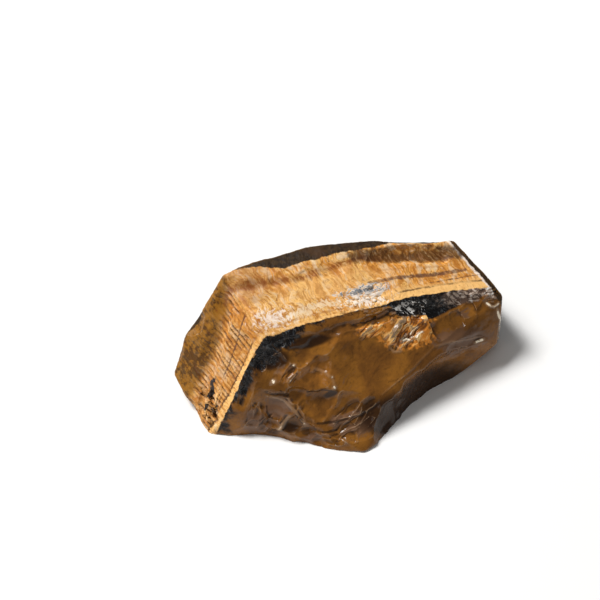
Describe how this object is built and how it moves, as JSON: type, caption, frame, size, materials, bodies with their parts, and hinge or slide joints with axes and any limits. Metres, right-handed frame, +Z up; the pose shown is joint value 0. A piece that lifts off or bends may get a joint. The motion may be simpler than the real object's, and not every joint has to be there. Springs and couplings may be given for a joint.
{
  "type": "rough tiger's eye stone",
  "caption": "Rough broken piece of tiger's eye with a silky gold band, a thin dark layer and a glassy brown face, resting on its flat underside.",
  "frame": {"origin": "middle of the stone's footprint box, on the plane it rests on", "axes": "+Z up, +X along the stone's length from the comb-like left end to the right end, -Y out of the brown front face"},
  "size_m": [0.0732, 0.0482, 0.0288],
  "materials": {
    "tigers_eye": "silky to glassy, wet-looking break"
  },
  "bodies": {
    "root": {"tigers_eye_stone": "tigers_eye"}
  },
  "joints": []
}
